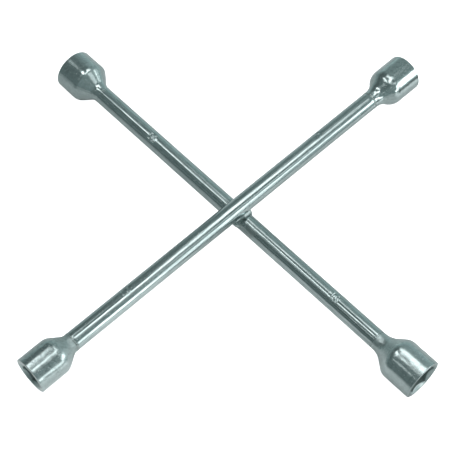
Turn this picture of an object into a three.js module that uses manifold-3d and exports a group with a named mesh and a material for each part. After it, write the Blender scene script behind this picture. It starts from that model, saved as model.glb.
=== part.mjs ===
// Four-way wheel-nut wrench (cross wrench), plated steel. Millimetres, +Z up.
//
// Two straight round bars cross at right angles. The upper bar runs along X and
// rests in a saddle that was pressed into the lower bar, which runs along Y.
// A fillet weld on each side of the upper bar holds the crossing. Each bar end
// carries a forged hexagon socket, butt-welded to it: the thin seam of weld
// metal between the bar end and the socket's shank is a piece of its own.
// Nothing moves: the finished wrench is one rigid body.
//
// Origin: centre of the bounding box in X and Y, at the lowest point of the
// largest socket on the lower bar.

import * as THREE from "three";
import { mergeVertices } from "three/addons/utils/BufferGeometryUtils.js";
import Module from "manifold-3d";

const wasm = await Module();
wasm.setup();

// ---------------------------------------------------------------- dimensions
const BAR_D = 13.3; // round bar stock
const AXIS_RISE = 11.4; // upper bar's axis above the lower bar's axis
const GAP = 0.3; // clearance kept between neighbouring solids
const SEAM_T = 1.0; // thickness of the butt-weld seam
const SEAM_CROWN = 0.12; // how far the dressed seam stands proud of the bar
const SEGMENTS = 40; // facets round every turned surface

// Sockets. reach: crossing to mouth. af: hexagon across flats. od: outer
// diameter. body: mouth to the corner where the cone would start. cone: length
// of the cone between its two corners. neck, shoulder: how far the concave and
// the convex rounding run along the surface from those corners. shank: plain
// length of bar diameter behind the neck rounding. hexDepth: depth of the
// hexagon. clock: angle of one hexagon corner from straight up.
const SOCKETS = {
  socket_17mm: {
    on: "upper", sign: -1, reach: 182.4, af: 17, od: 26.2, body: 21.9,
    cone: 9.6, neck: 1.9, shoulder: 3.1, shank: 0.2, hexDepth: 16, clock: -9,
  },
  socket_19mm: {
    on: "upper", sign: 1, reach: 170.4, af: 19, od: 27.7, body: 23.4,
    cone: 7.9, neck: 5.4, shoulder: 4.6, shank: 1.0, hexDepth: 16, clock: 0,
  },
  socket_21mm: {
    on: "lower", sign: -1, reach: 170.2, af: 21, od: 29.7, body: 22.6,
    cone: 10.9, neck: 4.6, shoulder: 2.8, shank: 0.8, hexDepth: 16, clock: 26,
  },
  socket_23mm: {
    on: "lower", sign: 1, reach: 177.6, af: 23, od: 31.0, body: 18.6,
    cone: 11.4, neck: 3.2, shoulder: 1.9, shank: 1.0, hexDepth: 15, clock: 30,
  },
};
const MOUTH_ROUND = 0.45; // rounding of the mouth's outer edge
const LEAD_IN = 2.4; // depth of the chamfer that leads into the hexagon
const LEAD_IN_PLAY = 0.5; // chamfer mouth radius beyond the hexagon's corner
const RELIEF = 1.6; // round pocket past the hexagon's end
const RELIEF_SHARE = 0.86; // pocket diameter over the across-flats size
const DRILL_TIP = 0.6; // depth of the drilled cone over its radius

// Saddle pressed into the lower bar.
const SADDLE_FLAT = 6.4; // half length of the pressed seat along the bar
const SADDLE_RUN = 9.2; // where the bar is fully round again
const SADDLE_EAR = 2.1; // metal squeezed out to each side
const EAR_FLAT = 4.2; // half length of the ears' widest stretch
const EAR_RUN = 8.0; // where the ears have run out
const SADDLE_TOP = AXIS_RISE - BAR_D / 2 - GAP; // seat above the lower axis
const SADDLE_BASE = 0.5; // flat left on the underside by the anvil

// Fillet welds at the crossing, one on each side of the upper bar.
const WELD_HALF = 7.2; // half length along the upper bar
const WELD_TOE = 7.2; // distance of the toe from the upper bar's plane

// ------------------------------------------------------------------ materials
const plated = new THREE.MeshStandardMaterial({
  name: "bright_plate", color: 0xb4c4c2, roughness: 0.2, metalness: 1.0,
});
const forged = new THREE.MeshStandardMaterial({
  name: "forged_plate", color: 0xa9bab8, roughness: 0.26, metalness: 1.0,
});
const weldMetal = new THREE.MeshStandardMaterial({
  name: "plated_weld", color: 0x7f908e, roughness: 0.42, metalness: 1.0,
});

// -------------------------------------------------------------------- helpers
const v2 = (x, y) => new THREE.Vector2(x, y);

// A closed mesh as a solid that can be joined and cut.
function solid(geometry) {
  geometry.deleteAttribute("normal");
  geometry.deleteAttribute("uv");
  const merged = mergeVertices(geometry, 1e-4);
  return new wasm.Manifold(
    new wasm.Mesh({
      numProp: 3,
      vertProperties: merged.attributes.position.array,
      triVerts: new Uint32Array(merged.index.array),
    }),
  );
}

// A cut solid as a geometry again.
function geometryOf(made) {
  const m = made.getMesh();
  const geometry = new THREE.BufferGeometry();
  geometry.setAttribute(
    "position",
    new THREE.BufferAttribute(new Float32Array(m.vertProperties), 3),
  );
  geometry.setIndex(new THREE.BufferAttribute(new Uint32Array(m.triVerts), 1));
  geometry.computeVertexNormals();
  return geometry;
}

// Points of a rounding that leaves corner b towards a and c by t on each side.
function rounded(a, b, c, t, steps) {
  const from = b.clone().add(a.clone().sub(b).setLength(t));
  const to = b.clone().add(c.clone().sub(b).setLength(t));
  return new THREE.QuadraticBezierCurve(from, b, to).getPoints(steps);
}

// Length of a socket forging from its seam face to its mouth.
const forgingLength = (s) => s.body + s.cone + s.neck + s.shank;

// ------------------------------------------------------------------ the pieces
// Socket forging: turned outside along local +Y, seam face at y = 0.
function socketGeometry(s) {
  const length = forgingLength(s);
  const rBar = BAR_D / 2;
  const r = s.od / 2;
  const neckCorner = v2(rBar, length - s.body - s.cone);
  const shoulderCorner = v2(r, length - s.body);
  const outline = [
    v2(0, 0),
    v2(rBar, 0),
    ...rounded(v2(rBar, 0), neckCorner, shoulderCorner, s.neck, 3),
    ...rounded(neckCorner, shoulderCorner, v2(r, length), s.shoulder, 3),
    v2(r, length - MOUTH_ROUND),
    v2(r - MOUTH_ROUND * 0.3, length - MOUTH_ROUND * 0.3),
    v2(r - MOUTH_ROUND, length),
    v2(0, length),
  ];
  const outside = solid(new THREE.LatheGeometry(outline, SEGMENTS));

  // Hexagon, open past the mouth. A corner sits at the clock angle from +Z.
  const rHex = s.af / Math.sqrt(3);
  const hexTop = length + 2;
  const hexBottom = length - s.hexDepth;
  const hex = new THREE.CylinderGeometry(
    rHex, rHex, hexTop - hexBottom, 6, 1, false,
    THREE.MathUtils.degToRad(s.clock), Math.PI * 2,
  );
  hex.translate(0, (hexTop + hexBottom) / 2, 0);

  // Lead-in chamfer at the mouth.
  const rLead = rHex + LEAD_IN_PLAY;
  const slope = (rLead - s.af / 2 + 0.4) / LEAD_IN;
  const lead = new THREE.LatheGeometry(
    [
      v2(0, length - LEAD_IN),
      v2(rLead - slope * LEAD_IN, length - LEAD_IN),
      v2(rLead, length),
      v2(rLead, length + 1),
      v2(0, length + 1),
    ],
    SEGMENTS,
  );

  // Round relief pocket with a drilled cone at its end.
  const rPocket = (s.af * RELIEF_SHARE) / 2;
  const pocket = new THREE.LatheGeometry(
    [
      v2(0, hexBottom - RELIEF - rPocket * DRILL_TIP),
      v2(rPocket, hexBottom - RELIEF),
      v2(rPocket, hexBottom + 1),
      v2(0, hexBottom + 1),
    ],
    24,
  );

  return geometryOf(
    outside
      .subtract(solid(hex))
      .subtract(solid(lead))
      .subtract(solid(pocket)),
  );
}

// Seam of weld metal between bar end and socket, dressed almost flush.
function seamGeometry() {
  const r = BAR_D / 2;
  return new THREE.LatheGeometry(
    [
      v2(0, 0),
      v2(r - 0.25, 0),
      v2(r + SEAM_CROWN * 0.8, SEAM_T * 0.25),
      v2(r + SEAM_CROWN, SEAM_T * 0.5),
      v2(r + SEAM_CROWN * 0.8, SEAM_T * 0.75),
      v2(r - 0.25, SEAM_T),
      v2(0, SEAM_T),
    ],
    SEGMENTS,
  );
}

// Plain round bar along local Y, from y0 to y1.
function barGeometry(y0, y1, stations) {
  const r = BAR_D / 2;
  const outline = [v2(0, y0), v2(r - 0.3, y0), v2(r, y0 + 0.3)];
  for (const y of stations) outline.push(v2(r, y));
  outline.push(v2(r, y1 - 0.3), v2(r - 0.3, y1), v2(0, y1));
  return new THREE.LatheGeometry(outline, SEGMENTS);
}

// Smooth step from 0 at a to 1 at b.
const ease = (x, a, b) => THREE.MathUtils.smoothstep(x, a, b);

// Press the saddle: the top is flattened to the seat and the displaced metal
// goes out to both sides as ears. Works on a bar along local Y, with Z up.
function pressSaddle(geometry) {
  const p = geometry.attributes.position;
  const r = BAR_D / 2;
  for (let i = 0; i < p.count; i++) {
    const y = Math.abs(p.getY(i));
    const press = 1 - ease(y, SADDLE_FLAT, SADDLE_RUN);
    if (press <= 0) continue;
    const x = p.getX(i);
    const z = p.getZ(i);
    const rho = Math.hypot(x, z);
    if (rho < 1e-6) continue;
    const sz = z / r;
    const sx = x / r;
    // Ears are widest a little above the axis.
    const ear = SADDLE_EAR * Math.exp(-(((sz - 0.42) / 0.5) ** 2))
      * (1 - ease(y, EAR_FLAT, EAR_RUN));
    const x2 = x + sx * ear * 1.15;
    const seat = SADDLE_TOP;
    const z2 = z > 0
      ? seat * Math.tanh((z / seat) * 1.0) * (1 / Math.tanh(r / seat))
      : Math.max(z, -(r - SADDLE_BASE));
    p.setX(i, x + (x2 - x) * press);
    p.setZ(i, z + (Math.min(z2, seat) - z) * press);
  }
  p.needsUpdate = true;
  geometry.computeVertexNormals();
  return geometry;
}

// Fillet weld along local X that fills the crevice between the saddle's seat
// and the upper bar's flank on the +Y side. The section swells in the middle
// and runs out at both ends. Z is measured from the lower bar's axis.
function filletGeometry() {
  const rc = BAR_D / 2 + GAP;
  const onBar = (y) => v2(y, AXIS_RISE - Math.sqrt(rc * rc - y * y));
  const base = SADDLE_TOP + GAP;
  const outline = [
    v2(2.9, base),
    v2(WELD_TOE - 1.2, base),
    v2(WELD_TOE, base + 0.35),
    v2(WELD_TOE - 0.05, base + 1.1),
    v2(WELD_TOE - 0.45, base + 1.9),
    v2(WELD_TOE - 1.0, base + 2.5),
    onBar(5.7),
    onBar(5.0),
    onBar(4.2),
    onBar(3.4),
  ];
  const root = v2(4.4, base + 0.55);
  const steps = 10;
  const bead = new THREE.ExtrudeGeometry(new THREE.Shape(outline), {
    depth: 2 * WELD_HALF, steps, bevelEnabled: false,
  });
  // Extruded along Z with the section in XY: turn to X, with (y, z) sections.
  const p = bead.attributes.position;
  for (let i = 0; i < p.count; i++) {
    const y = p.getX(i);
    const z = p.getY(i);
    const x = p.getZ(i) - WELD_HALF;
    const u = x / (WELD_HALF + 0.9);
    const k = Math.sqrt(Math.max(0, 1 - u * u));
    p.setXYZ(i, x, root.x + (y - root.x) * k, root.y + (z - root.y) * k);
  }
  p.needsUpdate = true;
  bead.computeVertexNormals();
  return bead;
}

// ------------------------------------------------------------------- assembly
function mesh(name, geometry, material) {
  const m = new THREE.Mesh(geometry, material);
  m.name = name;
  return m;
}

// Turn about Z that takes local +Y to an arm's outward direction.
const TURN = {
  "upper-1": Math.PI / 2,
  "upper1": -Math.PI / 2,
  "lower1": 0,
  "lower-1": Math.PI,
};

const wrench = new THREE.Group();
const crossing = new THREE.Group(); // frame at the crossing, on the lower axis
wrench.add(crossing);

const ends = { upper: { "-1": 0, 1: 0 }, lower: { "-1": 0, 1: 0 } };
for (const [name, s] of Object.entries(SOCKETS)) {
  const arm = new THREE.Group();
  arm.rotation.z = TURN[s.on + s.sign];
  arm.position.z = s.on === "upper" ? AXIS_RISE : 0;
  crossing.add(arm);

  const forging = mesh(name, socketGeometry(s), forged);
  const seat = s.reach - forgingLength(s);
  forging.position.y = seat;
  arm.add(forging);

  const seam = mesh(name.replace("socket", "neck_weld"), seamGeometry(), weldMetal);
  seam.position.y = seat - GAP - SEAM_T;
  arm.add(seam);

  ends[s.on][s.sign] = seat - 2 * GAP - SEAM_T;
}

// Upper bar along X: its local +Y is turned to +X.
const upperBar = mesh(
  "upper_bar",
  barGeometry(-ends.upper[-1], ends.upper[1], [-60, -12, 12, 60]),
  plated,
);
upperBar.rotation.z = TURN.upper1;
upperBar.position.z = AXIS_RISE;
crossing.add(upperBar);

// Lower bar along Y, with close stations through the saddle.
const stations = [-60];
for (let y = -9.6; y <= 9.61; y += 1.2) stations.push(y);
stations.push(60);
const lowerBar = mesh(
  "lower_bar",
  pressSaddle(barGeometry(-ends.lower[-1], ends.lower[1], stations)),
  plated,
);
crossing.add(lowerBar);

// The two welds that hold the crossing.
const weldBack = mesh("centre_weld_back", filletGeometry(), weldMetal);
crossing.add(weldBack);
const weldFront = mesh("centre_weld_front", filletGeometry(), weldMetal);
weldFront.rotation.z = Math.PI;
crossing.add(weldFront);

// Put the bounding box's bottom centre at the origin.
const S = SOCKETS;
crossing.position.set(
  (S.socket_17mm.reach - S.socket_19mm.reach) / 2,
  (S.socket_21mm.reach - S.socket_23mm.reach) / 2,
  S.socket_23mm.od / 2,
);

export default wrench;
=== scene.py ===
"""Looks of the four-way wheel-nut wrench: fine meshes for every CAD node, plated-steel materials, floor, light, camera."""

import math

import bpy
import numpy as np
from mathutils import Matrix, Vector


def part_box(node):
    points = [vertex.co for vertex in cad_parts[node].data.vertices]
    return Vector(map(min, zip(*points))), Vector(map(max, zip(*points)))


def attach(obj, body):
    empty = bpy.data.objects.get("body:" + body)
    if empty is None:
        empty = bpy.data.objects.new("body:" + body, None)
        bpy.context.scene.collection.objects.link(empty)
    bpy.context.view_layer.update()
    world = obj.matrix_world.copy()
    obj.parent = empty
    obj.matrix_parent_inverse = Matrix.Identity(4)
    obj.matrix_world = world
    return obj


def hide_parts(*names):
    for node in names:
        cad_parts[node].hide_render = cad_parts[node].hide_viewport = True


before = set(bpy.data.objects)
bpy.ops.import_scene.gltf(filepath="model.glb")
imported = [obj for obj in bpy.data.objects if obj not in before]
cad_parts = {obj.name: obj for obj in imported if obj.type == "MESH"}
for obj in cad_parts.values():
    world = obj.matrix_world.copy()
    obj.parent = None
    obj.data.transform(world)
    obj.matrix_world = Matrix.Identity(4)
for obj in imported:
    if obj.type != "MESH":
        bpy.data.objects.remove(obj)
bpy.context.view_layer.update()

# ------------------------------------------------------------------ dimensions
# Millimetres, as in the CAD. The crossing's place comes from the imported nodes.
BAR_R = 13.3 / 2
RISE = 11.4
SEAM_T = 1.0
GAP = 0.3
MOUTH_ROUND = 0.45
LEAD_IN = 2.4
LEAD_IN_PLAY = 0.5
RELIEF = 1.6
RELIEF_SHARE = 0.86
DRILL_TIP = 0.6
SADDLE_FLAT = 6.4
SADDLE_RUN = 9.2
SADDLE_EAR = 2.1
EAR_FLAT = 4.2
EAR_RUN = 8.0
SADDLE_TOP = RISE - BAR_R - GAP
SOCKETS = {
    "socket_17mm": dict(bar="upper", sign=-1, reach=182.4, af=17, od=26.2, body=21.9, cone=9.6, neck=1.9, shoulder=3.1, shank=0.2, depth=16, clock=-9),
    "socket_19mm": dict(bar="upper", sign=1, reach=170.4, af=19, od=27.7, body=23.4, cone=7.9, neck=5.4, shoulder=4.6, shank=1.0, depth=16, clock=0),
    "socket_21mm": dict(bar="lower", sign=-1, reach=170.2, af=21, od=29.7, body=22.6, cone=10.9, neck=4.6, shoulder=2.8, shank=0.8, depth=16, clock=26),
    "socket_23mm": dict(bar="lower", sign=1, reach=177.6, af=23, od=31.0, body=18.6, cone=11.4, neck=3.2, shoulder=1.9, shank=1.0, depth=15, clock=30),
}
lo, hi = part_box("upper_bar")
CY = (lo.y + hi.y) / 2 * 1000
CZ = (lo.z + hi.z) / 2 * 1000 - RISE
lo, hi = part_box("lower_bar")
CX = (lo.x + hi.x) / 2 * 1000
AROUND = 192
TWO_PI = 2 * math.pi
FLOOR_LIFT = 1.0


# --------------------------------------------------------------------- helpers
def ease(x, a, b):
    t = np.clip((x - a) / (b - a), 0, 1)
    return t * t * (3 - 2 * t)


def to_world(bar, t, x, z):
    """Local (t along the bar from the crossing, x sideways, z up) to millimetres in the row frame.
    Sideways is +Y on the upper bar and +X on the lower bar."""
    if bar == "upper":
        return np.stack([CX + t, CY + x, CZ + RISE + z], -1)
    return np.stack([CX + x, CY + t, CZ + z], -1)


def waves(seed, count, ks, ms, slope, radius):
    """Smooth periodic waviness of a turned surface: a list of (k, m, phase, amplitude in mm) with about that slope."""
    rng = np.random.default_rng(seed)
    out = []
    for _ in range(count):
        k = int(rng.integers(ks[0], ks[1] + 1))
        m = float(rng.uniform(ms[0], ms[1])) * (1 if rng.random() < 0.5 else -1)
        w = math.hypot(k / radius, m)
        out.append((k, m, float(rng.uniform(0, TWO_PI)), slope / max(w, 1e-3) / math.sqrt(count)))
    return out


def wave_sum(ws, t, phi):
    total = 0.0
    for k, m, p, a in ws:
        total = total + a * np.cos(k * phi + m * t + p)
    return total


def dent(t, phi, radius, at, ang, size, deep, stretch=1.0):
    """A soft round dent: at along the axis, ang round it in degrees, size and deep in mm."""
    d = (phi - math.radians(ang) + math.pi) % TWO_PI - math.pi
    q = ((t - at) / (size * stretch)) ** 2 + (d * radius / size) ** 2
    return -deep * np.exp(-q * 1.4)


STROKES = {
    "1": [[(0.25, 0.78), (0.5, 1.0), (0.5, 0.0)]],
    "2": [[(0.1, 0.78), (0.28, 0.98), (0.65, 0.98), (0.88, 0.76), (0.78, 0.5), (0.1, 0.0), (0.9, 0.0)]],
    "3": [[(0.12, 0.9), (0.4, 1.0), (0.75, 0.95), (0.85, 0.74), (0.7, 0.55), (0.42, 0.52)], [(0.7, 0.53), (0.9, 0.3), (0.78, 0.06), (0.4, 0.0), (0.1, 0.1)]],
    "7": [[(0.1, 1.0), (0.9, 1.0), (0.4, 0.0)]],
    "9": [[(0.85, 0.68), (0.62, 0.48), (0.3, 0.5), (0.12, 0.72), (0.28, 0.97), (0.65, 1.0), (0.86, 0.8), (0.84, 0.4), (0.62, 0.04), (0.3, 0.0)]],
}


def stroke_distance(px, py, text, height, width, pitch):
    """Distance in mm from points to the strokes of a short number centred on the origin."""
    best = np.full(np.broadcast(px, py).shape, 99.0)
    total = pitch * (len(text) - 1) + width
    for i, ch in enumerate(text):
        x0 = -total / 2 + i * pitch
        for line in STROKES[ch]:
            pts = [(x0 + a * width, (b - 0.5) * height) for a, b in line]
            for (ax, ay), (bx, by) in zip(pts[:-1], pts[1:]):
                dx, dy = bx - ax, by - ay
                u = np.clip(((px - ax) * dx + (py - ay) * dy) / (dx * dx + dy * dy), 0, 1)
                best = np.minimum(best, np.hypot(px - ax - u * dx, py - ay - u * dy))
    return best


def stamp(t, phi, radius, at, ang, text, flip, turn=0.0, height=4.6, width=2.7, pitch=3.7, deep=0.30):
    """A size number pressed into the bar: strokes with metal raised beside them, in a faint hollow."""
    d = (phi - math.radians(ang) + math.pi) % TWO_PI - math.pi
    px = (t - at) * flip
    py = d * radius * flip
    c, s = math.cos(turn), math.sin(turn)
    px, py = px * c + py * s, -px * s + py * c
    near = (np.abs(px) < 9) & (np.abs(py) < 6) & (np.abs(d) < 1.3)
    dist = np.where(near, stroke_distance(px, py, text, height, width, pitch), 99.0)
    groove = -deep * (1 - ease(dist, 0.18, 0.55))
    raised = 0.07 * np.exp(-(((dist - 0.75) / 0.28) ** 2))
    hollow = -0.10 * (1 - ease(np.hypot(px / 5.2, py / 3.4), 0.6, 1.15))
    return np.where(near, groove + raised + hollow, 0.0)


def build(name, rings, masks, start, end, bar):
    """A closed smooth mesh from rings of points (t, x, z), each with the same count. start and end are the t of the
    caps' centres.
    """
    n = len(rings[0][1])
    t = np.stack([np.broadcast_to(np.asarray(r[0], float), (n,)) for r in rings])
    x = np.stack([r[1] for r in rings])
    z = np.stack([r[2] for r in rings])
    co = to_world(bar, t, x, z).reshape(-1, 3)
    values = {k: np.concatenate([np.broadcast_to(np.asarray(v[i], float), (n,)) for i in range(len(rings))]) for k, v in masks.items()}
    faces = []
    idx = np.arange(n)
    nxt = (idx + 1) % n
    for i in range(len(rings) - 1):
        a, b = i * n, (i + 1) * n
        faces.append(np.stack([a + idx, a + nxt, b + nxt, b + idx], 1))
    quads = np.concatenate(faces)
    extra = []
    tris = []
    for cap, ring in ((start, 0), (end, len(rings) - 1)):
        c = len(co) + len(extra)
        extra.append(to_world(bar, np.array(cap, float), np.array(0.0), np.array(0.0)))
        base = ring * n
        if ring == 0:
            tris.append(np.stack([base + nxt, base + idx, np.full(n, c)], 1))
        else:
            tris.append(np.stack([base + idx, base + nxt, np.full(n, c)], 1))
        for k in values:
            values[k] = np.append(values[k], values[k][base])
    co = np.concatenate([co, np.array(extra)])
    mesh = bpy.data.meshes.new(name)
    all_faces = [tuple(int(v) for v in f) for f in quads] + [tuple(int(v) for v in f) for tr in tris for f in tr]
    mesh.from_pydata([tuple(map(float, p)) for p in co * 0.001], [], all_faces)
    mesh.validate()
    # Faces must point outwards whichever way the rings run.
    bm_volume = signed_volume(mesh)
    if bm_volume < 0:
        mesh.flip_normals()
    mesh.polygons.foreach_set("use_smooth", [True] * len(mesh.polygons))
    for k, v in values.items():
        att = mesh.attributes.new(k, "FLOAT", "POINT")
        att.data.foreach_set("value", v.astype(np.float32))
    mesh.update()
    obj = bpy.data.objects.new(name, mesh)
    bpy.context.scene.collection.objects.link(obj)
    return obj


def signed_volume(mesh):
    mesh.calc_loop_triangles()
    co = np.zeros(len(mesh.vertices) * 3)
    mesh.vertices.foreach_get("co", co)
    co = co.reshape(-1, 3)
    tri = np.zeros(len(mesh.loop_triangles) * 3, int)
    mesh.loop_triangles.foreach_get("vertices", tri)
    a, b, c = (co[tri.reshape(-1, 3)[:, i]] for i in range(3))
    return float(np.einsum("ij,ij->i", a, np.cross(b, c)).sum())


# ------------------------------------------------------------------- materials
def nodes_of(mat):
    mat.use_nodes = True
    tree = mat.node_tree
    tree.nodes.clear()
    return tree, tree.nodes, tree.links


def math_node(tree, op, a, b=None, clamp=False):
    n = tree.nodes.new("ShaderNodeMath")
    n.operation = op
    n.use_clamp = clamp
    for i, v in enumerate((a, b)):
        if v is None:
            continue
        if isinstance(v, (int, float)):
            n.inputs[i].default_value = v
        else:
            tree.links.new(v, n.inputs[i])
    return n.outputs[0]


def noise_node(tree, vector, scale, detail=2.0, rough=0.5):
    n = tree.nodes.new("ShaderNodeTexNoise")
    n.inputs["Scale"].default_value = scale
    n.inputs["Detail"].default_value = detail
    n.inputs["Roughness"].default_value = rough
    tree.links.new(vector, n.inputs["Vector"])
    return n.outputs["Fac"]


def mapping_node(tree, vector, scale):
    n = tree.nodes.new("ShaderNodeMapping")
    n.inputs["Scale"].default_value = scale
    tree.links.new(vector, n.inputs["Vector"])
    return n.outputs["Vector"]


def range_node(tree, value, a, b, c, d, smooth=True):
    n = tree.nodes.new("ShaderNodeMapRange")
    n.interpolation_type = "SMOOTHSTEP" if smooth else "LINEAR"
    n.inputs["From Min"].default_value = a
    n.inputs["From Max"].default_value = b
    n.inputs["To Min"].default_value = c
    n.inputs["To Max"].default_value = d
    tree.links.new(value, n.inputs["Value"])
    return n.outputs["Result"]


def mix_colour(tree, fac, a, b):
    n = tree.nodes.new("ShaderNodeMix")
    n.data_type = "RGBA"
    if isinstance(fac, (int, float)):
        n.inputs["Factor"].default_value = fac
    else:
        tree.links.new(fac, n.inputs["Factor"])
    for slot, v in (("A", a), ("B", b)):
        socket = [s for s in n.inputs if s.name == slot and s.type == "RGBA"][0]
        if isinstance(v, tuple):
            socket.default_value = (*v, 1)
        else:
            tree.links.new(v, socket)
    return [s for s in n.outputs if s.type == "RGBA"][0]


def bump_node(tree, height, distance, strength, normal=None):
    n = tree.nodes.new("ShaderNodeBump")
    n.inputs["Strength"].default_value = strength
    n.inputs["Distance"].default_value = distance
    tree.links.new(height, n.inputs["Height"])
    if normal is not None:
        tree.links.new(normal, n.inputs["Normal"])
    return n.outputs["Normal"]


def attribute_node(tree, name):
    n = tree.nodes.new("ShaderNodeAttribute")
    n.attribute_type = "GEOMETRY"
    n.attribute_name = name
    return n.outputs["Fac"]


def plated(name, axis, light, dark, weld=(0.30, 0.345, 0.34), extra=0.0, line=0.25, mottle=0.45):
    """Bright zinc plate over steel. axis is the direction of the drawing lines ("x" or "y"), or None on a forging.
    The mesh's own masks say where the plate is dull over rough forged or welded metal, and where it is inside a socket."""
    mat = bpy.data.materials.new(name)
    tree, nodes, links = nodes_of(mat)
    out = nodes.new("ShaderNodeOutputMaterial")
    bsdf = nodes.new("ShaderNodeBsdfPrincipled")
    links.new(bsdf.outputs[0], out.inputs[0])
    coord = nodes.new("ShaderNodeTexCoord").outputs["Object"]
    dull = attribute_node(tree, "dull")
    inner = attribute_node(tree, "inner")

    cloud = noise_node(tree, coord, 38.0, 3.0, 0.55)
    patch = noise_node(tree, coord, 150.0, 4.0, 0.6)
    grain = noise_node(tree, coord, 900.0, 3.0, 0.6)
    pits = noise_node(tree, coord, 1500.0, 1.0, 0.4)
    pit_mask = range_node(tree, pits, 0.70, 0.78, 0.0, 1.0)
    if axis:
        stretch = (3.0, 900.0, 900.0) if axis == "x" else (900.0, 3.0, 900.0)
        fine = (10.0, 3200.0, 3200.0) if axis == "x" else (3200.0, 10.0, 3200.0)
        streak = noise_node(tree, mapping_node(tree, coord, stretch), 1.0, 2.0, 0.5)
        scratch = noise_node(tree, mapping_node(tree, coord, fine), 1.0, 2.0, 0.6)
        short = (150.0, 1100.0, 1100.0) if axis == "x" else (1100.0, 150.0, 1100.0)
        dash = noise_node(tree, mapping_node(tree, coord, short), 1.0, 2.0, 0.55)
    else:
        streak = noise_node(tree, coord, 420.0, 2.0, 0.5)
        scratch = noise_node(tree, coord, 2600.0, 2.0, 0.6)
        dash = noise_node(tree, coord, 620.0, 3.0, 0.6)

    colour = mix_colour(tree, range_node(tree, cloud, 0.35, 0.68, 0.0, 1.0), light, dark)
    colour = mix_colour(tree, range_node(tree, streak, 0.45, 0.72, 0.0, 0.75 if axis else 0.35), colour, tuple((0.72 if axis else 0.82) * c for c in dark))
    colour = mix_colour(tree, math_node(tree, "MULTIPLY", dull, range_node(tree, patch, 0.35, 0.65, 0.45, 0.95)), colour, weld)
    colour = mix_colour(tree, range_node(tree, dash, 0.44, 0.66, 0.0, mottle), colour, tuple(0.66 * c for c in dark))
    colour = mix_colour(tree, math_node(tree, "MULTIPLY", math_node(tree, "MULTIPLY", inner, inner), 0.75), colour, (0.27, 0.31, 0.305))
    colour = mix_colour(tree, math_node(tree, "MULTIPLY", pit_mask, 0.55), colour, (0.12, 0.14, 0.14))
    links.new(colour, bsdf.inputs["Base Color"])

    rough = range_node(tree, scratch, 0.25, 0.75, (0.09 if axis else 0.11) + extra, (0.17 if axis else 0.19) + extra)
    rough = math_node(tree, "ADD", rough, range_node(tree, cloud, 0.4, 0.75, 0.0, 0.07))
    rough = math_node(tree, "ADD", rough, math_node(tree, "MULTIPLY", dull, range_node(tree, patch, 0.3, 0.7, 0.16, 0.34)))
    rough = math_node(tree, "ADD", rough, math_node(tree, "MULTIPLY", inner, 0.45))
    rough = math_node(tree, "ADD", rough, math_node(tree, "MULTIPLY", pit_mask, 0.25), clamp=True)
    links.new(rough, bsdf.inputs["Roughness"])
    bsdf.inputs["Metallic"].default_value = 1.0

    normal = bump_node(tree, streak, 0.00007 if axis else 0.00005, line)
    normal = bump_node(tree, dash, 0.00004, 0.25, normal)
    normal = bump_node(tree, scratch, 0.00002, 0.16 if axis else 0.12, normal)
    rough_height = math_node(tree, "MULTIPLY", math_node(tree, "ADD", patch, math_node(tree, "MULTIPLY", grain, 0.6)), math_node(tree, "MAXIMUM", dull, math_node(tree, "MULTIPLY", inner, 0.5)))
    normal = bump_node(tree, rough_height, 0.0004, 0.75, normal)
    normal = bump_node(tree, math_node(tree, "MULTIPLY", pit_mask, -1.0), 0.0001, 0.5, normal)
    links.new(normal, bsdf.inputs["Normal"])
    return mat


LIGHT = (0.508, 0.588, 0.586)
DARK = (0.446, 0.524, 0.522)
mat_upper = plated("plate_upper_bar", "x", LIGHT, DARK, extra=0.03, line=0.40)
mat_lower = plated("plate_lower_bar", "y", LIGHT, DARK)
PALE_SCALE = (0.42, 0.485, 0.48)
mat_forged = {
    "socket_17mm": plated("plate_forging_satin", None, LIGHT, DARK, PALE_SCALE, extra=0.05, line=0.30, mottle=0.65),
    "socket_19mm": plated("plate_forging_bright", None, LIGHT, DARK, PALE_SCALE, line=0.30, mottle=0.38),
    "socket_21mm": plated("plate_forging_soft", None, LIGHT, DARK, PALE_SCALE, extra=0.035, line=0.25, mottle=0.28),
}
mat_forged["socket_23mm"] = mat_forged["socket_19mm"]


def weld_material(name, light, dark, relief, smooth=0.20, rough=0.42):
    mat = bpy.data.materials.new(name)
    tree, nodes, links = nodes_of(mat)
    out = nodes.new("ShaderNodeOutputMaterial")
    bsdf = nodes.new("ShaderNodeBsdfPrincipled")
    links.new(bsdf.outputs[0], out.inputs[0])
    coord = nodes.new("ShaderNodeTexCoord").outputs["Object"]
    cloud = noise_node(tree, coord, 260.0, 4.0, 0.6)
    grain = noise_node(tree, coord, 1400.0, 3.0, 0.6)
    colour = mix_colour(tree, range_node(tree, cloud, 0.35, 0.65, 0.0, 1.0), light, dark)
    links.new(colour, bsdf.inputs["Base Color"])
    links.new(range_node(tree, grain, 0.3, 0.7, smooth, rough), bsdf.inputs["Roughness"])
    bsdf.inputs["Metallic"].default_value = 1.0
    normal = bump_node(tree, cloud, 0.0003 * relief, 0.6)
    normal = bump_node(tree, grain, 0.0001 * relief, 0.5, normal)
    links.new(normal, bsdf.inputs["Normal"])
    return mat


mat_weld = weld_material("plated_weld_metal", (0.44, 0.50, 0.49), (0.30, 0.345, 0.34), 1.0)
mat_bead = weld_material("plated_weld_bead", (0.56, 0.64, 0.635), (0.50, 0.575, 0.57), 0.3, 0.46, 0.58)
mat_dressed = plated("plated_weld_dressed", "y", LIGHT, DARK)


def finish_piece(obj, node, mat):
    obj.data.materials.append(mat)
    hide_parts(node)
    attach(obj, "root")


# ------------------------------------------------------------------------ bars
PHI = np.arange(AROUND) / AROUND * TWO_PI


def seat_of(s):
    return s["reach"] - (s["body"] + s["cone"] + s["neck"] + s["shank"])


def end_of(name):
    """Distance from the crossing to the bar's end face, where the weld seam starts."""
    return seat_of(SOCKETS[name]) - GAP - SEAM_T


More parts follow.
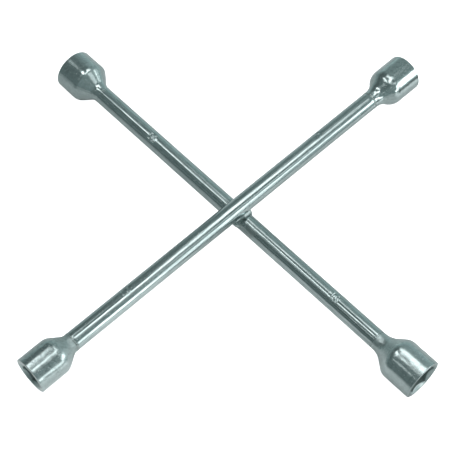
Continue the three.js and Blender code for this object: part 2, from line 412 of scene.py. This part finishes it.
def stations(t0, t1, fine):
    """Ring places from t0 to t1, 3 mm apart, closer inside the fine ranges (low, high, step)."""
    out = [t0, t0 + 0.15, t0 + 0.4, t1 - 0.4, t1 - 0.15, t1]
    cuts = sorted(fine)
    at = t0 + 1.2
    while at < t1 - 1.0:
        step = 3.0
        for a, b, s in cuts:
            if a - 0.01 <= at < b:
                step = s
                break
            if at < a < at + step:
                step = a - at
        out.append(at)
        at += step
    return np.array(sorted(set(round(v, 4) for v in out)))


DRAWN = waves(11, 26, (6, 48), (0.0, 0.006), 0.034, BAR_R)
DRAWN_B = waves(23, 26, (6, 48), (0.0, 0.006), 0.034, BAR_R)
SWAY = waves(5, 8, (1, 9), (0.03, 0.5), 0.006, BAR_R)
ROUGH = waves(77, 26, (2, 30), (0.6, 5.0), 0.10, BAR_R)


def bar_radius(t, which):
    """Radius of a plain bar round its section at t, with its drawn flats, marks and nicks."""
    r = np.full(AROUND, BAR_R - 0.02)
    ws = DRAWN if which == "upper" else DRAWN_B
    r = r + wave_sum(ws, t, PHI) + wave_sum(SWAY, t, PHI)
    if which == "upper":
        r = r + stamp(t, PHI, BAR_R, -101.1, 14, "17", 1)
        r = r + stamp(t, PHI, BAR_R, 79.1, 20, "19", 1)
    else:
        r = r + stamp(t, PHI, BAR_R, -92.0, -2, "21", 1)
        r = r + stamp(t, PHI, BAR_R, 86.7, -14, "23", 1)
        # A nick across the top, a small flat, and the rough patch beside the crossing.
        r = r + dent(t, PHI, BAR_R, -26.8, 11, 0.9, 0.14, 0.45)
        r = r + dent(t, PHI, BAR_R, 73.6, 11, 0.9, 0.06)
        patch = math.exp(-(((t + 16.0) / 7.0) ** 2)) * np.exp(-((((PHI - math.radians(-58) + math.pi) % TWO_PI - math.pi) / 0.55) ** 2))
        r = r + 0.9 * wave_sum(ROUGH, t, PHI) * patch
    return np.minimum(r, BAR_R)


def make_bar(name, which, marks):
    lo_name, hi_name = ("socket_17mm", "socket_19mm") if which == "upper" else ("socket_21mm", "socket_23mm")
    t0, t1 = -end_of(lo_name), end_of(hi_name)
    ts = stations(t0, t1, marks)
    rings, dull, inner = [], [], []
    for t in ts:
        r = bar_radius(t, which)
        x, z = r * np.sin(PHI), r * np.cos(PHI)
        edge = min(t - t0, t1 - t)
        if edge < 0.4:
            k = 1 - (0.012 if which == "upper" else 0.002) * (1 - edge / 0.4)
            x, z = x * k, z * k
        if which == "lower":
            x, z = press(t, x, z)
        rings.append((t, x, z))
        d = 0.0
        if which == "lower":
            d = 0.55 * (1 - ease(np.abs(t), 7.5, 12.0)) + 0.8 * math.exp(-(((t + 16.0) / 7.0) ** 2)) * np.exp(-((((PHI - math.radians(-58) + math.pi) % TWO_PI - math.pi) / 0.55) ** 2))
        dull.append(np.clip(np.broadcast_to(d, (AROUND,)), 0, 1))
        inner.append(0.0)
    return build(name, rings, {"dull": dull, "inner": inner}, t0, t1, which)


def press(t, x, z):
    """The saddle pressed into the lower bar, and the ears it squeezed out."""
    y = abs(t)
    k = 1 - ease(y, SADDLE_FLAT, SADDLE_RUN)
    if k <= 0:
        return x, z
    sx, sz = x / BAR_R, z / BAR_R
    ear = SADDLE_EAR * np.exp(-(((sz - 0.42) / 0.5) ** 2)) * (1 - ease(y, EAR_FLAT, EAR_RUN))
    x2 = x + sx * ear * 1.12
    seat = SADDLE_TOP
    up = seat * np.tanh(z / seat) / math.tanh(BAR_R / seat)
    z2 = np.where(z > 0, np.minimum(up, seat), np.maximum(z, -(BAR_R - 0.5)))
    return x + (x2 - x) * k, z + (z2 - z) * k


upper = make_bar("upper_bar_visual", "upper", [(-108.5, -93.5, 0.16), (71.5, 86.5, 0.16)])
finish_piece(upper, "upper_bar", mat_upper)
lower = make_bar("lower_bar_visual", "lower", [(-99.5, -84.5, 0.16), (-30.0, -10.0, 0.22), (-10.0, 10.0, 0.3), (71.5, 76.0, 0.3), (79.0, 94.5, 0.16)])
finish_piece(lower, "lower_bar", mat_lower)


# --------------------------------------------------------------------- sockets
def bezier(a, b, c, n):
    u = np.linspace(0, 1, n)[:, None]
    a, b, c = (np.array(v, float) for v in (a, b, c))
    return (1 - u) ** 2 * a + 2 * u * (1 - u) * b + u * u * c


def toward(a, b, d):
    a, b = np.array(a, float), np.array(b, float)
    return a + (b - a) / np.hypot(*(b - a)) * d


def resample(points, step):
    p = np.array(points, float)
    seg = np.hypot(*(p[1:] - p[:-1]).T)
    s = np.concatenate([[0], np.cumsum(seg)])
    n = max(int(round(s[-1] / step)), 2)
    u = np.linspace(0, s[-1], n + 1)
    return np.stack([np.interp(u, s, p[:, 0]), np.interp(u, s, p[:, 1])], 1)


def outer_profile(s):
    """(distance from the crossing, radius) of a forging's outside, from its shank to the mouth's edge."""
    L, r = s["reach"], s["od"] / 2
    seat = seat_of(s)
    neck = (L - s["body"] - s["cone"], BAR_R)
    sh = (L - s["body"], r)
    start = (seat - GAP, BAR_R)
    line = [start]
    line += [tuple(p) for p in bezier(toward(neck, start, s["neck"]), neck, toward(neck, sh, s["neck"]), 12)]
    line += [tuple(p) for p in bezier(toward(sh, neck, s["shoulder"]), sh, toward(sh, (L, r), s["shoulder"]), 14)]
    line.append((L - MOUTH_ROUND, r))
    return resample(line, 0.42)


def hexagon(phi, af, clock, corner=0.45):
    """Polar radius of a hexagon with slightly rounded corners. clock is a corner's angle."""
    a = (phi - math.radians(clock) + math.pi / 6) % (math.pi / 3) - math.pi / 6
    # a is 0 at a corner, +-30 degrees at the middle of a flat
    flat = (af / 2) / np.cos(math.pi / 6 - np.abs(a))
    rc = af / math.sqrt(3)
    limit = rc - corner * (2 / math.sqrt(3) - 1) * 1.6
    return -np.log(np.exp(-flat * 14) + np.exp(-limit * 14) * 0.6) / 14 if corner else flat


FORGE = {
    "socket_17mm": dict(seed=31, dull_to=31.0, dull=0.9,
        dents=[(176.0, -78, 1.2, 0.16), (173.5, -72, 0.9, 0.10), (178.5, -70, 0.8, 0.09), (170.0, -66, 1.0, 0.07), (179.6, -104, 0.5, 0.14), (166.0, 30, 1.6, 0.08), (172.0, 160, 1.4, 0.1)]),
    "socket_19mm": dict(seed=47, dull_to=0.0, dull=0.25,
        dents=[(160.0, 4, 0.7, 0.05), (157.0, 8, 0.6, 0.05), (163.0, 1, 0.7, 0.05), (154.0, 12, 0.6, 0.04), (165.5, -2, 0.6, 0.05), (150.5, -20, 0.8, 0.025), (147.0, -30, 0.9, 0.02), (152.0, 170, 1.2, 0.09)]),
    "socket_21mm": dict(seed=59, dull_to=31.5, dull=0.55,
        dents=[(158.0, -38, 0.8, 0.05), (162.5, -30, 0.7, 0.04), (155.5, -52, 0.9, 0.05), (165.0, 140, 1.3, 0.1)]),
    "socket_23mm": dict(seed=71, dull_to=0.0, dull=0.25,
        dents=[(160.5, -14, 0.8, 0.08), (163.0, -24, 0.6, 0.06), (170.0, -6, 0.7, 0.05), (166.0, 150, 1.2, 0.1)]),
}


def make_socket(name):
    s = SOCKETS[name]
    f = FORGE[name]
    L, r0 = s["reach"], s["od"] / 2
    sign = s["sign"]
    bar = s["bar"]
    # A corner of the hexagon falls on a vertex.
    clock = s["clock"] if bar == "lower" and sign > 0 else s["clock"]
    # Local x of the CAD's arm frame against this file's sideways direction.
    side = {("upper", -1): 1, ("upper", 1): -1, ("lower", 1): 1, ("lower", -1): -1}[(bar, sign)]
    corner = side * clock
    phi = PHI + math.radians(corner)
    rng_waves = waves(f["seed"], 14, (2, 14), (0.10, 0.9), 0.016, r0)
    flow = waves(f["seed"] + 1, 10, (9, 34), (0.0, 0.05), 0.030, r0)
    fine = waves(f["seed"] + 2, 18, (14, 44), (0.8, 3.5), 0.012, r0)
    rings, dull, inner = [], [], []
    cone0, cone1 = L - s["body"] - s["cone"], L - s["body"]
    for t, r in outer_profile(s):
        q = ease(np.array(t), cone0 - 3, cone0 + 3)
        on_cone = float(ease(np.array(t), cone0 - 1, cone0 + 2) * (1 - ease(np.array(t), cone1 - 1, cone1 + 2)))
        rr = r - 0.05 * float(q) + float(q) * wave_sum(rng_waves, t, phi) + (0.35 + 1.0 * on_cone) * float(q) * wave_sum(flow, t, phi) + float(q) * wave_sum(fine, t, phi) * 0.6
        for at, ang, size, deep in f["dents"]:
            rr = rr + dent(t, phi, r, at, ang, size, deep)
        rr = np.minimum(rr, r)
        rings.append((sign * t, rr * np.sin(phi), rr * np.cos(phi)))
        back = L - t
        d = f["dull"] * float(ease(np.array(back), f["dull_to"] - 9.0, f["dull_to"] - 4.0)) if f["dull_to"] else f["dull"] * on_cone * 0.4
        dull.append(d)
        inner.append(0.0)
    # Mouth: rounded outer edge, flat rim, lead-in chamfer, hexagon, pocket.
    last = rings[-1]
    r_last = np.hypot(last[1], last[2])
    for a in np.linspace(0, math.pi / 2, 7)[1:]:
        rr = np.minimum(r_last, r0) - MOUTH_ROUND * (1 - math.cos(a))
        rings.append((sign * (L - MOUTH_ROUND * (1 - math.sin(a))), rr * np.sin(phi), rr * np.cos(phi)))
        dull.append(0.1); inner.append(0.0)
    r_hex = hexagon(phi, s["af"], corner)
    r_lead = s["af"] / math.sqrt(3) + LEAD_IN_PLAY
    face_outer = np.hypot(rings[-1][1], rings[-1][2])

    def ring(t, rad, d, i):
        rad = np.broadcast_to(np.asarray(rad, float), (AROUND,))
        rings.append((sign * t, rad * np.sin(phi), rad * np.cos(phi)))
        dull.append(d); inner.append(i)

    for k in (0.08, 0.35, 0.65, 0.92):
        ring(L, face_outer + (r_lead + 0.12 - face_outer) * k, 0.25, 0.0)
    slope = (r_lead - s["af"] / 2 + 0.4) / LEAD_IN
    for z in (0.0, 0.02, 0.12, 0.3, 0.5, 0.7, 0.9, 1.1, 1.3, 1.5, 1.7, 1.9, 2.1, 2.25, 2.35):
        cone_r = r_lead - slope * z + (0.06 if z == 0.0 else 0.0)
        ring(L - z - (0.05 if z > 0 else 0.0), np.maximum(r_hex, cone_r), 0.3, 0.2 * z)
    for z in (2.55, 2.8, 3.2, 4.8, 6.8, 9.0, 11.2, 13.2, 14.4 if s["depth"] > 15 else 14.0, s["depth"] - 0.25, s["depth"] - 0.06):
        ring(L - z, r_hex, 0.3, 0.5 + 0.5 * float(ease(np.array(z), 4.0, 12.0)))
    pocket = s["af"] * RELIEF_SHARE / 2
    bottom = L - s["depth"]
    ring(bottom, r_hex - 0.12, 0.6, 1.0)
    ring(bottom, r_hex * 0.4 + pocket * 0.6, 0.6, 1.0)
    ring(bottom, pocket + 0.08, 0.6, 1.0)
    ring(bottom - 0.08, pocket, 0.6, 1.0)
    ring(bottom - RELIEF * 0.5, pocket, 0.6, 1.0)
    ring(bottom - RELIEF + 0.1, pocket, 0.6, 1.0)
    for k in (0.97, 0.8, 0.6, 0.4, 0.2, 0.08):
        ring(bottom - RELIEF - pocket * DRILL_TIP * (1 - k), pocket * k, 0.6, 1.0)
    obj = build(name + "_visual", rings, {"dull": dull, "inner": inner}, sign * (seat_of(s) - GAP), sign * (bottom - RELIEF - pocket * DRILL_TIP), bar)
    finish_piece(obj, name, mat_forged[name])
    return obj


for socket_name in SOCKETS:
    make_socket(socket_name)


# ------------------------------------------------------------------ neck seams
def make_seam(name):
    s = SOCKETS[name]
    t0 = end_of(name)
    t1 = seat_of(s) - GAP
    ws = waves(hash_of(name), 12, (2, 26), (0.0, 1.2), 0.10, BAR_R)
    proud = 1.0 if s["bar"] == "upper" else 0.2
    rings, dull, inner = [], [], []
    for u in np.linspace(0, 1, 9):
        crown = 0.10 * proud * math.sin(math.pi * u) ** 0.8
        t = t0 + (t1 - t0) * u
        wob = proud * wave_sum(ws, t, PHI) * math.sin(math.pi * u)
        rr = np.minimum(BAR_R - 0.03 + crown + 0.35 * wob, BAR_R + 0.115)
        shift = 0.10 * np.sin(3 * PHI + 1.3) * math.sin(math.pi * u)
        rings.append((s["sign"] * (t + shift), rr * np.sin(PHI), rr * np.cos(PHI)))
        dull.append(0.25); inner.append(0.0)
    obj = build(name.replace("socket", "neck_weld") + "_visual", rings, {"dull": dull, "inner": inner}, s["sign"] * t0, s["sign"] * t1, s["bar"])
    finish_piece(obj, name.replace("socket", "neck_weld"), mat_weld if s["bar"] == "upper" else mat_dressed)


def hash_of(name):
    return sum(ord(c) * (i + 3) for i, c in enumerate(name)) % 9973


for socket_name in SOCKETS:
    make_seam(socket_name)


# --------------------------------------------------------------- centre welds
def make_fillet(name, sign, seed):
    """Weld bead in the crevice between the saddle and the upper bar's flank. sign is the side in Y."""
    ws = waves(seed, 10, (1, 4), (0.25, 1.1), 0.06, 3.0)
    half = 7.2
    base = SADDLE_TOP + 0.04
    n = 48
    rings = []
    xs = np.concatenate([[-half], -half + np.array([0.12, 0.35, 0.7]), np.linspace(-half + 1.1, half - 1.1, 60), half - np.array([0.7, 0.35, 0.12]), [half]])
    rc = BAR_R + 0.02
    on = lambda y: RISE - math.sqrt(rc * rc - y * y)
    pts = [(2.4, on(2.4) - 0.05), (2.6, base)]
    pts += [(y, base) for y in (3.6, 4.6, 5.6, 6.3)]
    pts += [(6.9, base + 0.02), (7.14, base + 0.12), (7.06, base + 0.55), (6.86, base + 1.05), (6.56, base + 1.6), (6.18, base + 2.12), (5.74, base + 2.58)]
    pts += [(5.3, on(5.3)), (4.8, on(4.8)), (4.2, on(4.2)), (3.3, on(3.3))]
    loop = np.array(pts + [pts[0]])
    seg = np.hypot(*(loop[1:] - loop[:-1]).T)
    acc = np.concatenate([[0], np.cumsum(seg)])
    u = np.linspace(0, acc[-1], n, endpoint=False)
    sec = np.stack([np.interp(u, acc, loop[:, 0]), np.interp(u, acc, loop[:, 1])], 1)
    root = np.array([4.3, base + 0.35])
    ang = np.arange(n) / n * TWO_PI
    co, faces = [], []
    for x in xs:
        k = max(0.0, 1 - (x / (half + 0.25)) ** 2) ** 0.5
        k = 0.12 + 0.88 * k * (1 - 0.7 * float(ease(np.array(-x), -0.5, 3.5)))
        ripple = 1 + 0.012 * math.sin(x * 2.6 + 0.8 * math.sin(x * 0.7)) + 0.008 * math.sin(x * 5.7 + 1.0)
        out = (sec - root) * k
        swell = wave_sum(ws, x, ang) * k
        length = np.maximum(np.hypot(out[:, 0], out[:, 1]), 1e-6)
        free = ((sec[:, 0] > 5.7) & (sec[:, 1] > base + 0.02)).astype(float)
        out = out * (1 + free * (ripple - 1))[:, None] + (out / length[:, None]) * (free * 0.35 * swell)[:, None]
        p = root + out
        p[:, 0] = np.minimum(p[:, 0], 7.2)
        for y, z in p:
            co.append((CX + x, CY + sign * y, CZ + z))
    m = len(xs)
    for i in range(m - 1):
        for j in range(n):
            a, b = i * n + j, i * n + (j + 1) % n
            faces.append((a, b, b + n, a + n))
    for ring_i in (0, m - 1):
        c = len(co)
        co.append(tuple(np.mean(co[ring_i * n:(ring_i + 1) * n], axis=0)))
        for j in range(n):
            a, b = ring_i * n + j, ring_i * n + (j + 1) % n
            faces.append((b, a, c) if ring_i == 0 else (a, b, c))
    mesh = bpy.data.meshes.new(name)
    mesh.from_pydata([tuple(0.001 * float(v) for v in p) for p in co], [], faces)
    mesh.validate()
    if signed_volume(mesh) < 0:
        mesh.flip_normals()
    mesh.polygons.foreach_set("use_smooth", [True] * len(mesh.polygons))
    mesh.update()
    obj = bpy.data.objects.new(name, mesh)
    bpy.context.scene.collection.objects.link(obj)
    return obj


for label, sign, seed in (("centre_weld_front", -1, 5), ("centre_weld_back", 1, 9)):
    bead = make_fillet(label + "_visual", sign, seed)
    finish_piece(bead, label, mat_bead)


# ----------------------------------------------------------------------- stage
floor_mesh = bpy.data.meshes.new("floor")
H = 4.0
floor_mesh.from_pydata([(-H, -H, 0), (H, -H, 0), (H, H, 0), (-H, H, 0)], [], [(0, 1, 2, 3)])
floor = bpy.data.objects.new("floor", floor_mesh)
bpy.context.scene.collection.objects.link(floor)
floor.location.z = -0.0002
floor_mat = bpy.data.materials.new("floor_board")
tree, nodes, links = nodes_of(floor_mat)
out = nodes.new("ShaderNodeOutputMaterial")
bsdf = nodes.new("ShaderNodeBsdfPrincipled")
bsdf.inputs["Base Color"].default_value = (0.93, 0.91, 0.91, 1)
bsdf.inputs["Roughness"].default_value = 0.20
bsdf.inputs["Specular IOR Level"].default_value = 0.7
# The board is lit to plain white for the picture itself. In the plate it shows as the pale grey it is.
lift = nodes.new("ShaderNodeEmission")
lift.inputs["Color"].default_value = (1.0, 1.0, 1.0, 1)
links.new(math_node(tree, "MULTIPLY", nodes.new("ShaderNodeLightPath").outputs["Is Camera Ray"], FLOOR_LIFT), lift.inputs["Strength"])
both = nodes.new("ShaderNodeAddShader")
links.new(bsdf.outputs[0], both.inputs[0])
links.new(lift.outputs[0], both.inputs[1])
links.new(both.outputs[0], out.inputs[0])
floor.data.materials.append(floor_mat)

# The studio round the object: dim to the left and behind, mid grey to the right, paler near the horizon.
world = bpy.data.worlds.new("studio")
bpy.context.scene.world = world
world.use_nodes = True
tree = world.node_tree
tree.nodes.clear()
out = tree.nodes.new("ShaderNodeOutputWorld")
bg = tree.nodes.new("ShaderNodeBackground")
plain_bg = tree.nodes.new("ShaderNodeBackground")
plain_bg.inputs["Color"].default_value = (1.0, 1.0, 1.0, 1)
pick = tree.nodes.new("ShaderNodeMixShader")
tree.links.new(tree.nodes.new("ShaderNodeLightPath").outputs["Is Camera Ray"], pick.inputs[0])
tree.links.new(bg.outputs[0], pick.inputs[1])
tree.links.new(plain_bg.outputs[0], pick.inputs[2])
tree.links.new(pick.outputs[0], out.inputs[0])
split = tree.nodes.new("ShaderNodeSeparateXYZ")
tree.links.new(tree.nodes.new("ShaderNodeTexCoord").outputs["Generated"], split.inputs[0])
east = range_node(tree, split.outputs[0], 0.20, 0.90, 0.0, 1.0)
low = range_node(tree, split.outputs[2], 0.02, 0.50, 1.0, 0.0)
south = range_node(tree, split.outputs[1], -0.2, -0.8, 0.0, 1.0)
north = range_node(tree, split.outputs[1], 0.45, 0.95, 0.0, 1.0)
level = math_node(tree, "ADD", math_node(tree, "MULTIPLY", east, 0.24), 0.225)
rim = math_node(tree, "ADD", math_node(tree, "MULTIPLY", east, 0.20), math_node(tree, "MULTIPLY", north, 0.30))
level = math_node(tree, "ADD", level, math_node(tree, "MULTIPLY", low, rim))
level = math_node(tree, "ADD", level, math_node(tree, "MULTIPLY", south, 0.12))
shade = math_node(tree, "MULTIPLY", range_node(tree, split.outputs[1], 0.45, 0.75, 0.0, 1.0), range_node(tree, split.outputs[0], 0.35, 0.15, 0.0, 1.0))
level = math_node(tree, "SUBTRACT", level, math_node(tree, "MULTIPLY", shade, 0.06))
tree.links.new(level, bg.inputs["Strength"])
bg.inputs["Color"].default_value = (0.80, 1.0, 1.0, 1)


def area(name, place, aim, size, radiance, colour=(1, 1, 1), spin=0.0):
    """A soft box at place, facing aim, spun about its own facing line."""
    data = bpy.data.lights.new(name, "AREA")
    data.shape = "RECTANGLE"
    data.size, data.size_y = size
    data.energy = radiance * math.pi * size[0] * size[1]
    data.color = colour
    obj = bpy.data.objects.new(name, data)
    bpy.context.scene.collection.objects.link(obj)
    turn = (Vector(aim) - Vector(place)).to_track_quat("-Z", "Y").to_matrix()
    obj.matrix_world = Matrix.Translation(Vector(place)) @ (turn @ Matrix.Rotation(spin, 3, "Z")).to_4x4()
    obj.visible_camera = False
    return obj


HIGH = 0.8
area("overhead_right", (0.08, -0.115, HIGH), (0.08, -0.115, 0), (0.32, 0.17), 3.1, spin=math.radians(13))
area("overhead_far_right", (0.345, -0.035, HIGH), (0.345, -0.035, 0), (0.30, 0.23), 2.2, spin=math.radians(4))
area("overhead_end_dim", (0.545, -0.07, HIGH), (0.545, -0.07, 0), (0.08, 0.30), 1.1)
area("overhead_front_dim", (0.10, -0.31, HIGH), (0.10, -0.31, 0), (0.26, 0.18), 0.6)
area("overhead_left", (-0.110, 0.305, HIGH), (-0.110, 0.305, 0), (0.125, 0.59), 3.2, spin=math.radians(-12))
area("overhead_left_wide", (-0.33, 0.19, HIGH), (-0.33, 0.19, 0), (0.12, 0.16), 1.0)
area("overhead_left_small", (-0.012, 0.322, HIGH), (-0.012, 0.322, 0), (0.05, 0.08), 1.4)
area("overhead_left_dim", (0.065, 0.42, HIGH), (0.065, 0.42, 0), (0.06, 0.26), 0.7)
area("overhead_back", (0.30, 0.195, HIGH), (0.30, 0.195, 0), (0.14, 0.33), 2.2)
area("overhead_back_dim", (0.46, 0.32, HIGH), (0.46, 0.32, 0), (0.20, 0.28), 0.55)

# Lights the board in front of the smallest socket, and nothing shows it in the plate.
spot_data = bpy.data.lights.new("board_fill", "SPOT")
spot_data.energy = 4.4
spot_data.spot_size = math.radians(36)
spot_data.spot_blend = 1.0
spot_data.shadow_soft_size = 0.03
spot = bpy.data.objects.new("board_fill", spot_data)
bpy.context.scene.collection.objects.link(spot)
spot.matrix_world = Matrix.Translation(Vector((-0.21, -0.12, 0.50))) @ (Vector((-0.135, -0.07, 0)) - Vector((-0.21, -0.12, 0.50))).to_track_quat("-Z", "Y").to_matrix().to_4x4()
spot.visible_camera = False
spot.visible_glossy = False


def facing_box(name, a, b, distance, size, radiance):
    """A soft box whose long side runs from direction a to direction b, facing the object."""
    a, b = Vector(a) * distance, Vector(b) * distance
    middle = (a + b) / 2
    back = (middle - Vector((0, 0, 0.02))).normalized()
    along = (b - a).normalized()
    along = (along - back * along.dot(back)).normalized()
    obj = area(name, middle, (0, 0, 0.02), size, radiance)
    obj.matrix_world = Matrix.Translation(middle) @ Matrix((along, back.cross(along), back)).transposed().to_4x4()
    return obj


facing_box("front_strip", (0.08, -0.97, 0.20), (0.32, -0.92, 0.28), 1.2, (0.52, 0.30), 2.5)
facing_box("front_strip_high", (0.34, -0.88, 0.34), (0.47, -0.74, 0.50), 1.2, (0.30, 0.34), 2.5)
facing_box("fan_high", (0.18, -0.50, 0.74), (0.50, -0.50, 0.70), 1.0, (0.32, 0.12), 1.1)
area("right_low", (0.86, -0.38, 0.46), (0, 0, 0), (0.16, 0.20), 2.0)
facing_box("front_right", (0.56, -0.77, 0.36), (0.76, -0.56, 0.36), 1.2, (0.34, 0.50), 3.0)
facing_box("left_small", (-0.66, 0.0, 0.73), (-0.66, 0.16, 0.73), 1.08, (0.14, 0.08), 1.6)
facing_box("left_front_small", (-0.30, -0.72, 0.62), (-0.42, -0.69, 0.55), 1.1, (0.20, 0.05), 3.0)

# A dark card lying beyond the board's right corner: only reflections show it.
card_mesh = bpy.data.meshes.new("dark_card")
card_mesh.from_pydata([(0.205, -0.175, 0), (0.265, -0.105, 0), (0.66, -0.34, 0), (0.56, -0.70, 0), (0.33, -0.66, 0)], [], [(0, 4, 3, 2, 1)])
card = bpy.data.objects.new("dark_card", card_mesh)
bpy.context.scene.collection.objects.link(card)
card.location.z = 0.001
card_mat = bpy.data.materials.new("dark_card")
tree, nodes, links = nodes_of(card_mat)
out = nodes.new("ShaderNodeOutputMaterial")
bsdf = nodes.new("ShaderNodeBsdfPrincipled")
links.new(bsdf.outputs[0], out.inputs[0])
bsdf.inputs["Base Color"].default_value = (0.12, 0.14, 0.14, 1)
bsdf.inputs["Roughness"].default_value = 0.8
card.data.materials.append(card_mat)
card.visible_camera = False

# ---------------------------------------------------------------------- camera
AZ, EL, ROLL = math.radians(-44.571), math.radians(59.0921), math.radians(0.9662)
DIST, TX, TY = 892.6258 * 0.912, -7.0508 * 0.912, -10.0665 * 0.912
back = Vector((math.sin(AZ) * math.cos(EL), -math.cos(AZ) * math.cos(EL), math.sin(EL)))
right = (-back).cross(Vector((0, 0, 1))).normalized()
up = right.cross(-back)
r2 = right * math.cos(ROLL) + up * math.sin(ROLL)
u2 = -right * math.sin(ROLL) + up * math.cos(ROLL)
place = back * DIST + r2 * TX + u2 * TY + Vector((CX, CY, CZ))
cam_data = bpy.data.cameras.new("camera")
cam = bpy.data.objects.new("camera", cam_data)
bpy.context.scene.collection.objects.link(cam)
cam.matrix_world = Matrix.Translation(place * 0.001) @ Matrix((r2, u2, back)).transposed().to_4x4()
cam_data.sensor_width = 36.0
cam_data.lens = 1173.6987 * 36.0 / 458.0
cam_data.clip_start = 0.01
cam_data.clip_end = 50.0
bpy.context.scene.camera = cam
bpy.context.scene.view_settings.view_transform = "Standard"
